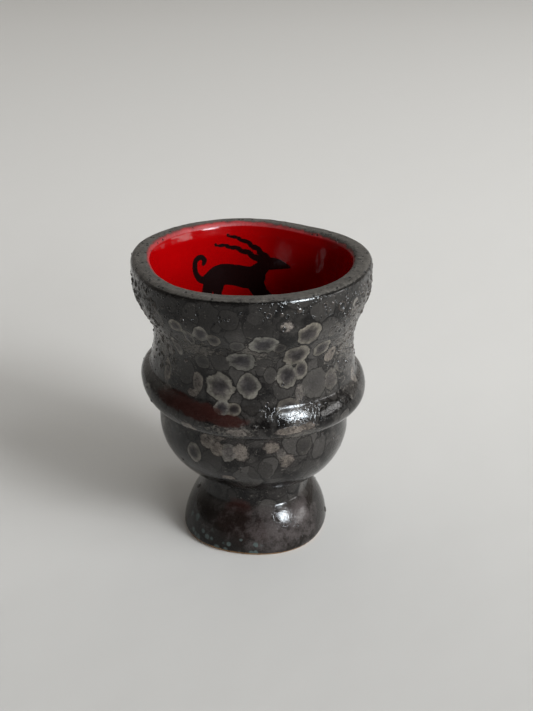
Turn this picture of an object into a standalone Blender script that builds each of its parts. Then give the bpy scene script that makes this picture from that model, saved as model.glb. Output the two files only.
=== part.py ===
# A footed cup of glazed stoneware, thrown and then altered by hand: one hollow piece.
# Metres, +Z up. It stands on z = 0, and the middle of its outline is on the z axis.

import math

import bpy
import numpy as np

# Heights, stacked from the ground up to the rim
FOOT_HEIGHT = 0.0169      # ground to the ledge under the neck
NECK_HEIGHT = 0.0071      # ledge to where the bowl starts
BOWL_DEPTH = 0.0255       # the bowl is the lower half of an ellipsoid this deep, cut off by the neck
BOWL_STRAIGHT = 0.0093    # upright part of the bowl, up to the crease under the collar
COLLAR_RISE = 0.0089      # crease to the crest of the collar
COLLAR_TOP = 0.0039       # crest of the collar to the crease above it
WAIST_FALL = 0.0095       # upper crease to the waist
WAIST_HEIGHT = 0.0035     # upright part of the waist
FLARE_HEIGHT = 0.0210     # waist to the band below the rim
LIP_HEIGHT = 0.0079       # upright band that ends in the rim

# Outside radii
FOOT_RADIUS = 0.0279
LEDGE_RADIUS = 0.0203
NECK_RADIUS = 0.0196
BOWL_RADIUS = 0.0348
COLLAR_RADIUS = 0.0411
COLLAR_SEAT = 0.0376      # where the wall above runs into the collar
WAIST_RADIUS = 0.0363
MOUTH_RADIUS = 0.0426

# Walls and edges
WALL = 0.0068             # wall of the waist and the bowl
RIM_WIDTH = 0.0075        # the rim is a little thicker than the wall
RIM_ROUNDING = 0.0021     # both edges of the rim
FLOOR_THICKNESS = 0.0080  # floor of the bowl, over the neck
FOOT_RING_WIDTH = 0.0060  # the bare ring that the cup stands on
FOOT_EDGE = 0.0015        # its rounded outer edge
RECESS_DEPTH = 0.0140     # hollow under the foot
GLAZE_FILLET = 0.0006     # how far the glaze softens the creases

# The hand-made unevenness. Angles are in degrees from +X, seen from above.
OVAL = 0.00085            # the mouth is longer one way than across
OVAL_ANGLE = -62.0
THREE_SIDED = 0.00057
THREE_SIDED_ANGLE = 4.0
FIVE_SIDED = 0.00038
FIVE_SIDED_ANGLE = 17.0
DENT = 0.00094            # a flatter place in the mouth
DENT_ANGLE = 60.0
DENT_SPREAD = 15.0
FOUR_SIDED_FOOT = 0.0005
FOUR_SIDED_ANGLE = -57.0
BODY_TILT = 2.4           # the bowl and the collar are lower at +X than the rim and the foot
MOUTH_SHIFT = (-0.0008, -0.0020)
WAIST_SHIFT = (0.00015, -0.0001)
BOWL_SHIFT = (0.00025, -0.00015)
FOOT_SHIFT = (0.00085, 0.00075)

SEGMENTS = 72             # round the cup
WALL_STATIONS = 36        # rings of the outside, from the rim to the foot
INSIDE_STATIONS = 14

LEDGE_Z = FOOT_HEIGHT
NECK_Z = LEDGE_Z + NECK_HEIGHT
BOWL_CUT = math.acos(NECK_RADIUS / BOWL_RADIUS)
BOWL_Z = NECK_Z + BOWL_DEPTH * math.sin(BOWL_CUT)
CREASE_Z = BOWL_Z + BOWL_STRAIGHT
CREST_Z = CREASE_Z + COLLAR_RISE
SEAT_Z = CREST_Z + COLLAR_TOP
WAIST_Z = SEAT_Z + WAIST_FALL
FLARE_Z = WAIST_Z + WAIST_HEIGHT
LIP_Z = FLARE_Z + FLARE_HEIGHT
RIM_Z = LIP_Z + LIP_HEIGHT
FLOOR_Z = NECK_Z + FLOOR_THICKNESS


def eased(share):
    """Goes smoothly from 0 to 1 as share does."""
    share = np.clip(share, 0.0, 1.0)
    return share * share * (3.0 - 2.0 * share)


def round_arc(centre, reach, start, end, fullness=2.0, steps=24):
    """Points on a quarter of an oval round centre, from start to end in degrees."""
    turn = np.radians(np.linspace(start, end, steps))
    across = np.sign(np.cos(turn)) * np.abs(np.cos(turn)) ** (2.0 / fullness)
    up = np.sign(np.sin(turn)) * np.abs(np.sin(turn)) ** (2.0 / fullness)
    return np.stack([centre[0] + reach[0] * across, centre[1] + reach[1] * up], 1)


def sweep(start, end, steps=24):
    """An S-shaped run from one point to the next, upright at both of them."""
    height = np.linspace(start[1], end[1], steps)
    share = eased((height - start[1]) / (end[1] - start[1]))
    return np.stack([start[0] + (end[0] - start[0]) * share, height], 1)


def outside_wall():
    """The outside from the rim's outer edge down to the edge of the foot."""
    under = COLLAR_RADIUS - BOWL_RADIUS
    over = COLLAR_RADIUS - COLLAR_SEAT
    flare = (FOOT_RADIUS - LEDGE_RADIUS, FOOT_HEIGHT - FOOT_EDGE)
    runs = [
        sweep((MOUTH_RADIUS, RIM_Z - RIM_ROUNDING), (MOUTH_RADIUS, LIP_Z)),
        sweep((MOUTH_RADIUS, LIP_Z), (WAIST_RADIUS, FLARE_Z)),
        sweep((WAIST_RADIUS, WAIST_Z), (COLLAR_SEAT, SEAT_Z)),
        round_arc((COLLAR_SEAT, CREST_Z), (over, COLLAR_TOP), 90, 0),
        round_arc((BOWL_RADIUS, CREST_Z), (under, -COLLAR_RISE), 0, 90, 1.75),
        round_arc((0.0, BOWL_Z), (BOWL_RADIUS, -BOWL_DEPTH), 0, math.degrees(BOWL_CUT)),
        sweep((NECK_RADIUS, NECK_Z), (LEDGE_RADIUS, LEDGE_Z)),
        round_arc((LEDGE_RADIUS, FOOT_EDGE), flare, 90, 0, 1.5),
    ]
    return np.concatenate(runs)


def inside_wall():
    """The inside from the middle of the floor up to the rim's inner edge."""
    waist = WAIST_RADIUS - WALL
    bowl = BOWL_RADIUS - WALL
    runs = [
        round_arc((0.0, BOWL_Z), (bowl, FLOOR_Z - BOWL_Z), 90, 0, 2.3),
        sweep((bowl, BOWL_Z), (waist, SEAT_Z)),
        sweep((waist, WAIST_Z), (MOUTH_RADIUS - RIM_WIDTH, RIM_Z - RIM_ROUNDING)),
    ]
    return np.concatenate(runs)


def along(points):
    """Distance of each point from the first one, along the line through them."""
    return np.concatenate([[0.0], np.cumsum(np.linalg.norm(np.diff(points, axis=0), axis=1))])


def softened(points, width):
    """The same line with its corners rounded, between the same two ends."""
    run = along(points)
    keep = np.concatenate([[True], np.diff(run) > 1e-7])
    even = np.linspace(0.0, run[-1], 900)
    line = np.stack([np.interp(even, run[keep], points[keep, k]) for k in (0, 1)], 1)
    reach = int(3 * width / even[1]) + 1
    weight = np.exp(-0.5 * (np.arange(-reach, reach + 1) * even[1] / width) ** 2)
    weight /= weight.sum()
    before = 2 * line[0] - line[reach:0:-1]
    after = 2 * line[-1] - line[-2:-reach - 2:-1]
    longer = np.concatenate([before, line, after])
    return np.stack([np.convolve(longer[:, k], weight, "valid") for k in (0, 1)], 1)


def spaced(points, count):
    """count points along the line, closer together where it turns."""
    run = along(points)
    way = np.diff(points, axis=0)
    turn = np.abs(np.diff(np.unwrap(np.arctan2(way[:, 1], way[:, 0]))))
    turn = np.concatenate([[0.0], turn, [0.0]])
    measure = run / run[-1] + np.cumsum(turn) / turn.sum()
    place = np.interp(np.linspace(0.0, measure[-1], count), measure, run)
    return np.stack([np.interp(place, run, points[:, k]) for k in (0, 1)], 1)


def cup_profile():
    """Half of the cup's section, from the floor inside, over the rim, to the recess."""
    inner_edge = MOUTH_RADIUS - RIM_WIDTH + RIM_ROUNDING
    outer_edge = MOUTH_RADIUS - RIM_ROUNDING
    rim_z = RIM_Z - RIM_ROUNDING
    rounding = (RIM_ROUNDING, RIM_ROUNDING)
    ring_outside = FOOT_RADIUS - FOOT_EDGE
    ring_inside = FOOT_RADIUS - FOOT_RING_WIDTH
    runs = [
        spaced(softened(inside_wall(), GLAZE_FILLET), INSIDE_STATIONS),
        round_arc((inner_edge, rim_z), rounding, 180, 90, steps=4)[1:],
        round_arc((outer_edge, rim_z), rounding, 90, 0, steps=4)[:-1],
        spaced(softened(outside_wall(), GLAZE_FILLET), WALL_STATIONS),
        round_arc((ring_outside, FOOT_EDGE), (FOOT_EDGE, -FOOT_EDGE), 0, 90, steps=4)[1:],
        round_arc((0.0, 0.0), (ring_inside, RECESS_DEPTH), 0, 90, 2.4, steps=8),
    ]
    profile = np.concatenate(runs)
    profile[0, 0] = 0.0
    profile[-1, 0] = 0.0
    return profile


def turned(profile, name):
    """Turns the profile round the z axis and gives back a plain mesh."""
    mesh = bpy.data.meshes.new(name + "_profile")
    edges = [(i, i + 1) for i in range(len(profile) - 1)]
    mesh.from_pydata([(float(r), 0.0, float(z)) for r, z in profile], edges, [])
    guide = bpy.data.objects.new(name + "_profile", mesh)
    bpy.context.scene.collection.objects.link(guide)
    screw = guide.modifiers.new("Turn", "SCREW")
    screw.axis = "Z"
    screw.steps = SEGMENTS
    screw.render_steps = SEGMENTS
    screw.use_merge_vertices = True
    screw.merge_threshold = 0.00005
    graph = bpy.context.evaluated_depsgraph_get()
    body = bpy.data.meshes.new_from_object(guide.evaluated_get(graph))
    bpy.data.objects.remove(guide)
    bpy.data.meshes.remove(mesh)
    body.name = name
    return body


def lobes(angle, count, towards):
    """Goes from -1 to 1 as many times round the cup as count, with a top at towards."""
    return np.cos(count * (angle - math.radians(towards)))


def altered(places):
    """Where the hand-made unevenness puts each point of the true turned shape."""
    x, y, z = places.T
    radius = np.hypot(x, y)
    angle = np.arctan2(y, x)
    above_ledge = eased((z - LEDGE_Z) / (BOWL_Z - LEDGE_Z))
    to_waist = eased((z - CREASE_Z) / (FLARE_Z - CREASE_Z))
    to_mouth = eased((z - FLARE_Z) / (LIP_Z - FLARE_Z))
    above_crease = eased((z - CREASE_Z) / (LIP_Z - CREASE_Z))
    tilted = eased((z - LEDGE_Z) / (2 * NECK_HEIGHT))
    tilted = tilted * (1.0 - eased((z - CREST_Z) / (LIP_Z - CREST_Z)))

    away = np.degrees((angle - math.radians(DENT_ANGLE) + np.pi) % (2 * np.pi) - np.pi)
    mouth = OVAL * lobes(angle, 2, OVAL_ANGLE)
    mouth += THREE_SIDED * lobes(angle, 3, THREE_SIDED_ANGLE)
    mouth += FIVE_SIDED * lobes(angle, 5, FIVE_SIDED_ANGLE)
    mouth -= DENT * np.exp(-0.5 * (away / DENT_SPREAD) ** 2)
    foot = FOUR_SIDED_FOOT * lobes(angle, 4, FOUR_SIDED_ANGLE)
    # Both fade out towards the axis, where a floor has no sides.
    mouth = mouth * above_crease * eased(radius / (WAIST_RADIUS - WALL))
    foot = foot * (1.0 - above_ledge) * eased(radius / NECK_RADIUS)
    radius = radius + mouth + foot

    moved = []
    for k, flat in enumerate((radius * np.cos(angle), radius * np.sin(angle))):
        shift = FOOT_SHIFT[k] + (BOWL_SHIFT[k] - FOOT_SHIFT[k]) * above_ledge
        shift = shift + (WAIST_SHIFT[k] - shift) * to_waist
        shift = shift + (MOUTH_SHIFT[k] - shift) * to_mouth
        moved.append(flat + shift)
    moved.append(z - moved[0] * math.tan(math.radians(BODY_TILT)) * tilted)
    return np.stack(moved, 1)


def centred(places):
    """Brings the middle of the outline onto the z axis, and the foot down to z = 0."""
    low = places.min(0)
    high = places.max(0)
    return places - [(low[0] + high[0]) / 2, (low[1] + high[1]) / 2, low[2]]


def glazed_clay(name):
    """The dark outside glaze, as a plain colour."""
    material = bpy.data.materials.new(name)
    material.use_nodes = True
    shader = material.node_tree.nodes["Principled BSDF"]
    shader.inputs["Base Color"].default_value = (0.030, 0.028, 0.029, 1.0)
    shader.inputs["Roughness"].default_value = 0.28
    shader.inputs["Metallic"].default_value = 0.0
    return material


def main():
    for old in list(bpy.data.objects):
        bpy.data.objects.remove(old)
    collection = bpy.data.collections.new("footed_cup")
    bpy.context.scene.collection.children.link(collection)

    body = turned(cup_profile(), "cup")
    places = np.empty(3 * len(body.vertices))
    body.vertices.foreach_get("co", places)
    places = centred(altered(places.reshape(-1, 3)))
    body.vertices.foreach_set("co", places.ravel())
    body.update()
    body.shade_smooth()
    body.set_sharp_from_angle(angle=math.radians(50))
    body.materials.clear()
    body.materials.append(glazed_clay("glazed_stoneware"))
    cup = bpy.data.objects.new("cup", body)
    collection.objects.link(cup)


main()
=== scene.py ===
import math

import bmesh
import bpy
import numpy as np
from mathutils import Matrix, Vector


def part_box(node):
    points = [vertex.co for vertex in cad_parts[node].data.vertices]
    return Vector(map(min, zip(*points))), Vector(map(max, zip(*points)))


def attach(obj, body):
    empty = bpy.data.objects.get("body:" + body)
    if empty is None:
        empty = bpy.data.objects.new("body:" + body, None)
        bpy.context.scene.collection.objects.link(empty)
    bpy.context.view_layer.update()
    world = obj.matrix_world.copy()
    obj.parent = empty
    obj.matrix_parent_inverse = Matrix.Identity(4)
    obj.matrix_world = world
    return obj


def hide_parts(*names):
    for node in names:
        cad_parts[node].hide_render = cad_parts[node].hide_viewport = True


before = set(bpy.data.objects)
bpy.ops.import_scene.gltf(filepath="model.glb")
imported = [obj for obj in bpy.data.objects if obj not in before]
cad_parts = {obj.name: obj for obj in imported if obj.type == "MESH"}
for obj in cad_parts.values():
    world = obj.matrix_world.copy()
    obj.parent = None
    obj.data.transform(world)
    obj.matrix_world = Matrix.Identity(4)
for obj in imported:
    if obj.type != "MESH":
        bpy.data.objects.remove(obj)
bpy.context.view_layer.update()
mm = 0.001


# Camera

cameraSettings = {
    "place": (0.33, -351.45, 234.92),  # mm
    "pitch": 25.1,  # degrees down
    "yaw": 0.82,  # degrees to the right
    "lens": 54.08,  # on a 36 mm sensor, upright picture
    "sensor": 36,
    "nearest": 0.02,  # m
}


def newObject(name, data):
    piece = bpy.data.objects.new(name, data)
    bpy.context.scene.collection.objects.link(piece)
    return piece


def addCamera(settings):
    data = bpy.data.cameras.new("photoCamera")
    data.lens = settings["lens"]
    data.sensor_width = settings["sensor"]
    data.clip_start = settings["nearest"]
    camera = newObject("photoCamera", data)
    place = Matrix.Translation(Vector(settings["place"]) * mm)
    aside = Matrix.Rotation(-math.radians(settings["yaw"]), 4, "Z")
    down = Matrix.Rotation(math.radians(90 - settings["pitch"]), 4, "X")
    camera.matrix_world = place @ aside @ down
    bpy.context.scene.camera = camera


addCamera(cameraSettings)
print("camera set")


# Small helpers that build node trees

class Signal:
    # What comes out of a socket; sums and products with it add Math nodes
    def __init__(self, bench, socket):
        self.bench = bench
        self.socket = socket

    def __add__(self, other):
        return self.bench.math("ADD", self, other)

    def __sub__(self, other):
        return self.bench.math("SUBTRACT", self, other)

    def __rsub__(self, other):
        return self.bench.math("SUBTRACT", other, self)

    def __mul__(self, other):
        return self.bench.math("MULTIPLY", self, other)

    def __truediv__(self, other):
        return self.bench.math("DIVIDE", self, other)


class Bench:
    # Adds nodes to one tree; an input takes a number, a word, a vector, a material or a Signal
    def __init__(self, tree):
        self.tree = tree

    def feed(self, socket, value):
        if isinstance(value, Signal):
            self.tree.links.new(value.socket, socket)
        else:
            socket.default_value = value

    def add(self, kind, inputs=None, **settings):
        node = self.tree.nodes.new(kind)
        for name, value in settings.items():
            setattr(node, name, value)
        for name, value in (inputs or {}).items():
            self.feed(node.inputs[name], value)
        return node

    def take(self, node, output=0):
        return Signal(self, node.outputs[output])

    def given(self, name):
        # One of a group's own inputs
        return self.take(self.source, name)

    def give(self, name, value):
        self.feed(self.result.inputs[name], value)

    def math(self, operation, *values):
        return self.take(self.add("ShaderNodeMath", dict(enumerate(values)), operation=operation))

    def vector(self, operation, *values, output=0):
        node = self.add("ShaderNodeVectorMath", dict(enumerate(values)), operation=operation)
        return self.take(node, output)

    def scaled(self, vector, factor):
        return self.take(self.add("ShaderNodeVectorMath", {0: vector, "Scale": factor}, operation="SCALE"))

    def parts(self, vector):
        node = self.add("ShaderNodeSeparateXYZ", {0: vector})
        return [self.take(node, k) for k in range(3)]

    def combined(self, x, y, z=0.0):
        return self.take(self.add("ShaderNodeCombineXYZ", {0: x, 1: y, 2: z}))

    def eased(self, value, low, high, start=0.0, end=1.0):
        # Goes smoothly from start to end as value goes from low to high
        sockets = {"Value": value, "From Min": low, "From Max": high, "To Min": start, "To Max": end}
        return self.take(self.add("ShaderNodeMapRange", sockets, interpolation_type="SMOOTHSTEP"))

    def fading(self, value, low, high):
        return self.eased(value, low, high, 1.0, 0.0)

    def band(self, value, low, full, fade, high):
        # Rises from low to full, and falls from fade to high
        return self.eased(value, low, full) * self.fading(value, fade, high)

    def line(self, value, width):
        # 1 where the value is nought, and 0 beyond the width on either side
        return self.fading(self.math("ABSOLUTE", value), 0.0, width)

    def mixed(self, factor, first, second):
        return self.take(self.add("ShaderNodeMix", {0: factor, 2: first, 3: second}))

    def blended(self, factor, first, second, way="MIX"):
        sockets = {0: factor, 6: first, 7: second}
        return self.take(self.add("ShaderNodeMix", sockets, data_type="RGBA", blend_type=way), 2)

    def times(self, first, second):
        return self.blended(1.0, first, second, "MULTIPLY")

    def noise(self, vector, grain, detail=2.0, roughness=0.5, distortion=0.0, output=0):
        # grain is the size of the noise's lumps in mm
        sockets = {"Vector": vector, "Scale": 1 / (grain * mm), "Detail": detail}
        sockets.update({"Roughness": roughness, "Distortion": distortion})
        return self.take(self.add("ShaderNodeTexNoise", sockets), output)

    def swing(self, vector, grain, detail=2.0, roughness=0.5):
        # Noise about nought, from -0.5 to 0.5
        return self.noise(vector, grain, detail, roughness) - 0.5

    def cells(self, vector, scale):
        # How far each point is from the middle of its cell, and two random numbers of the cell's own
        node = self.add("ShaderNodeTexVoronoi", {"Vector": vector, "Scale": scale})
        chance = self.add("ShaderNodeSeparateColor", {0: self.take(node, 1)})
        return self.take(node), self.take(chance, 0), self.take(chance, 1)

    def cellBorder(self, vector, scale):
        sockets = {"Vector": vector, "Scale": scale}
        return self.take(self.add("ShaderNodeTexVoronoi", sockets, feature="DISTANCE_TO_EDGE"))

    def ramp(self, value, stops):
        node = self.add("ShaderNodeValToRGB", {0: value})
        marks = node.color_ramp.elements
        for mark, (place, colour) in zip(marks, (stops[0], stops[-1])):
            mark.position = place
            mark.color = colour
        for place, colour in stops[1:-1]:
            marks.new(place).color = colour
        return self.take(node)

    def attribute(self, name):
        # A layer of the mesh, in a material
        return self.take(self.add("ShaderNodeAttribute", attribute_name=name), 2)

    def named(self, name, kind="FLOAT"):
        # A layer of the mesh, in a geometry tree
        return self.take(self.add("GeometryNodeInputNamedAttribute", {"Name": name}, data_type=kind))

    def stored(self, geometry, name, value, kind="FLOAT", domain="POINT"):
        sockets = {"Geometry": geometry, "Name": name, "Value": value}
        return self.take(self.add("GeometryNodeStoreNamedAttribute", sockets, data_type=kind, domain=domain))


def newGroup(name, kind, inputs, outputs):
    # A bench for a new node group with named sockets
    tree = bpy.data.node_groups.new(name, kind)
    for direction, sockets in (("INPUT", inputs), ("OUTPUT", outputs)):
        for label, socketType, *value in sockets:
            socket = tree.interface.new_socket(label, in_out=direction, socket_type="NodeSocket" + socketType)
            if value:
                socket.default_value = value[0]
    bench = Bench(tree)
    bench.source = bench.add("NodeGroupInput")
    bench.result = bench.add("NodeGroupOutput")
    return bench


# The cup's half section. Sizes in mm.

cupSizes = {
    "footHeight": 16.9,
    "neckHeight": 7.1,
    "bowlDepth": 25.5,
    "bowlStraight": 9.3,
    "collarRise": 8.9,
    "collarTop": 3.9,
    "waistFall": 9.5,
    "waistHeight": 3.5,
    "flareHeight": 21.0,
    "lipHeight": 7.9,
    "footRadius": 27.9,
    "ledgeRadius": 20.3,
    "neckRadius": 19.6,
    "bowlRadius": 34.8,
    "collarRadius": 41.1,
    "collarSeat": 37.6,
    "waistRadius": 36.3,
    "mouthRadius": 42.6,
    "wall": 6.8,
    "rimWidth": 7.5,
    "rimRounding": 2.1,
    "floorThickness": 8.0,
    "footRingWidth": 6.0,
    "footEdge": 1.5,
    "recessDepth": 14.0,
    "glazeFillet": 0.6,
    "collarFullness": 2.0,
}
slopedCollar = {  # at the front and right the collar's top is a flat slope with a sharper crest
    "collarRise": 6.4,
    "collarTop": 6.9,
    "waistFall": 9.0,
    "collarSeat": 37.3,
    "collarRadius": 41.3,
    "collarFullness": 1.35,
}
meshSteps = {  # mm between the rings of the mesh, and how much of the baked picture each part gets
    "lowLining": (1.9, 0.6),
    "lining": (0.78, 1.0),
    "rim": (0.45, 1.0),
    "outside": (0.74, 1.0),
    "underside": (1.1, 0.4),
    "figureFoot": 64.0,  # the lining is finer above this height
}


def cupHeights(s):
    ledge = s["footHeight"]
    neck = ledge + s["neckHeight"]
    cut = math.acos(s["neckRadius"] / s["bowlRadius"])
    bowl = neck + s["bowlDepth"] * math.sin(cut)
    crease = bowl + s["bowlStraight"]
    crest = crease + s["collarRise"]
    seat = crest + s["collarTop"]
    waist = seat + s["waistFall"]
    flare = waist + s["waistHeight"]
    lip = flare + s["flareHeight"]
    heights = {"ledge": ledge, "neck": neck, "bowl": bowl, "crease": crease, "crest": crest}
    heights.update({"seat": seat, "waist": waist, "flare": flare, "lip": lip})
    heights.update({"rim": lip + s["lipHeight"], "floor": neck + s["floorThickness"], "cut": cut})
    return heights


def eased(share):
    share = np.clip(share, 0.0, 1.0)
    return share * share * (3.0 - 2.0 * share)


def roundArc(centre, reach, start, end, fullness=2.0, steps=24):
    # Points on a quarter of an oval round centre
    turn = np.radians(np.linspace(start, end, steps))
    across = np.sign(np.cos(turn)) * np.abs(np.cos(turn)) ** (2.0 / fullness)
    up = np.sign(np.sin(turn)) * np.abs(np.sin(turn)) ** (2.0 / fullness)
    return np.stack([centre[0] + reach[0] * across, centre[1] + reach[1] * up], 1)


def sweep(start, end, steps=24):
    # An S-shaped run from one point to the next, upright at both of them
    height = np.linspace(start[1], end[1], steps)
    share = eased((height - start[1]) / (end[1] - start[1]))
    return np.stack([start[0] + (end[0] - start[0]) * share, height], 1)


def outsideWall(s, h):
    under = s["collarRadius"] - s["bowlRadius"]
    over = s["collarRadius"] - s["collarSeat"]
    flare = (s["footRadius"] - s["ledgeRadius"], s["footHeight"] - s["footEdge"])
    mouth = s["mouthRadius"]
    return np.concatenate([
        sweep((mouth, h["rim"] - s["rimRounding"]), (mouth, h["lip"])),
        sweep((mouth, h["lip"]), (s["waistRadius"], h["flare"])),
        sweep((s["waistRadius"], h["waist"]), (s["collarSeat"], h["seat"])),
        roundArc((s["collarSeat"], h["crest"]), (over, s["collarTop"]), 90, 0, s["collarFullness"]),
        roundArc((s["bowlRadius"], h["crest"]), (under, -s["collarRise"]), 0, 90, 1.75),
        roundArc((0.0, h["bowl"]), (s["bowlRadius"], -s["bowlDepth"]), 0, math.degrees(h["cut"])),
        sweep((s["neckRadius"], h["neck"]), (s["ledgeRadius"], h["ledge"])),
        roundArc((s["ledgeRadius"], s["footEdge"]), flare, 90, 0, 1.5),
    ])


def insideWall(s, h):
    waist = s["waistRadius"] - s["wall"]
    bowl = s["bowlRadius"] - s["wall"]
    return np.concatenate([
        roundArc((0.0, h["bowl"]), (bowl, h["floor"] - h["bowl"]), 90, 0, 2.3, 60),
        sweep((bowl, h["bowl"]), (waist, h["seat"])),
        sweep((waist, h["waist"]), (s["mouthRadius"] - s["rimWidth"], h["rim"] - s["rimRounding"])),
    ])


def distanceAlong(points):
    return np.concatenate([[0.0], np.cumsum(np.linalg.norm(np.diff(points, axis=0), axis=1))])


def softened(points, width):
    # The same line with its corners rounded, between the same two ends
    run = distanceAlong(points)
    keep = np.concatenate([[True], np.diff(run) > 1e-4])
    even = np.linspace(0.0, run[-1], 900)
    line = np.stack([np.interp(even, run[keep], points[keep, k]) for k in (0, 1)], 1)
    reach = int(3 * width / even[1]) + 1
    weight = np.exp(-0.5 * (np.arange(-reach, reach + 1) * even[1] / width) ** 2)
    weight /= weight.sum()
    before = 2 * line[0] - line[reach:0:-1]
    after = 2 * line[-1] - line[-2:-reach - 2:-1]
    longer = np.concatenate([before, line, after])
    return np.stack([np.convolve(longer[:, k], weight, "valid") for k in (0, 1)], 1)


def stepped(points, count):
    # Evenly spaced points along the line, without its last one
    run = distanceAlong(points)
    place = np.linspace(0.0, run[-1], count + 1)[:-1]
    return np.stack([np.interp(place, run, points[:, k]) for k in (0, 1)], 1)


def halfSection(s, h, steps, counts):
    # From the middle of the floor inside, over the rim, to the middle of the recess: radius, height,
    # distance from the middle of the rim (outside is positive), and the row of the baked picture.
    # counts keeps how many rings each part has, so that a second section has as many.
    rounding = (s["rimRounding"], s["rimRounding"])
    rimBase = h["rim"] - s["rimRounding"]
    innerEdge = s["mouthRadius"] - s["rimWidth"] + s["rimRounding"]
    outerEdge = s["mouthRadius"] - s["rimRounding"]
    inside = softened(insideWall(s, h), s["glazeFillet"])
    low = inside[:, 1] < steps["figureFoot"]
    rim = np.concatenate([
        roundArc((innerEdge, rimBase), rounding, 180, 90, steps=12),
        roundArc((outerEdge, rimBase), rounding, 90, 0, steps=12),
    ])
    edge = s["footEdge"]
    underside = np.concatenate([
        roundArc((s["footRadius"] - edge, edge), (edge, -edge), 0, 90, steps=8),
        roundArc((0.0, 0.0), (s["footRadius"] - s["footRingWidth"], s["recessDepth"]), 0, 90, 2.4, 40),
    ])
    outside = softened(outsideWall(s, h), s["glazeFillet"])
    joint = inside[low][-1:]
    lines = [
        ("lowLining", inside[low]),
        ("lining", np.concatenate([joint, inside[~low]])),
        ("rim", rim),
        ("outside", outside),
        ("underside", underside),
    ]
    points = []
    weights = []
    for name, line in lines:
        step, weight = steps[name]
        counts.setdefault(name, max(2, round(distanceAlong(line)[-1] / step)))
        part = stepped(line, counts[name])
        points.append(part)
        weights += [weight] * len(part)
    points = np.concatenate(points + [underside[-1:]])
    points[0, 0] = 0.0
    points[-1, 0] = 0.0
    run = distanceAlong(points)
    middle = (innerEdge + outerEdge) / 2
    onTop = np.argmin(np.abs(points[:, 0] - middle) + 10 * np.abs(points[:, 1] - h["rim"]))
    rows = np.concatenate([[0.0], np.cumsum(np.diff(run) * weights)])
    return points, run - run[onTop], rows / rows[-1]


# The cup's body: the half section turned, then altered as by hand

unevenness = {
    "Segments": 320,
    "Mouth oval": 0.85,  # mm
    "Mouth oval angle": -62.0,  # degrees from +X, seen from above
    "Three sided": 0.57,
    "Three sided angle": 4.0,
    "Five sided": 0.38,
    "Five sided angle": 17.0,
    "Dent": 0.94,
    "Dent angle": 60.0,
    "Dent spread": 15.0,
    "Four sided foot": 0.5,
    "Four sided angle": -57.0,
    "Body tilt": 2.4,  # degrees
    "Waviness": 0.20,  # mm of slow relief
    "Wrinkle": 0.014,
    "Throwing lines": 0.03,
    "Side roughness": 0.26,
    "Rim waviness": 0.18,
    "Inner edge": 0.75,  # how far the lining turns out just under the rim
    "Collar slope angle": -75.0,  # degrees; where the collar's top is flattest
}
bodyShifts = {  # how far each level stands off the axis, mm
    "foot": (0.85, 0.75),
    "bowl": (0.25, -0.15),
    "waist": (0.15, -0.10),
    "mouth": (-0.80, -2.00),
}
reliefGrain = {"waves": 15.0, "wrinkles": 2.6, "lines": 1.5, "lumps": 2.2, "rim": 6.0}  # a lump's size, mm
reliefReach = {  # mm from the rim's middle: where each begins, is full, begins to fade, and ends
    "lining": (-60.0, -50.0, -8.0, -4.0),
    "rim": (-6.0, -2.0, 2.0, 6.0),
    "innerEdge": (-8.0, -4.0, -3.4, -0.8),
}
pictureMargin = 0.004  # of the baked picture, left empty at each side


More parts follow.
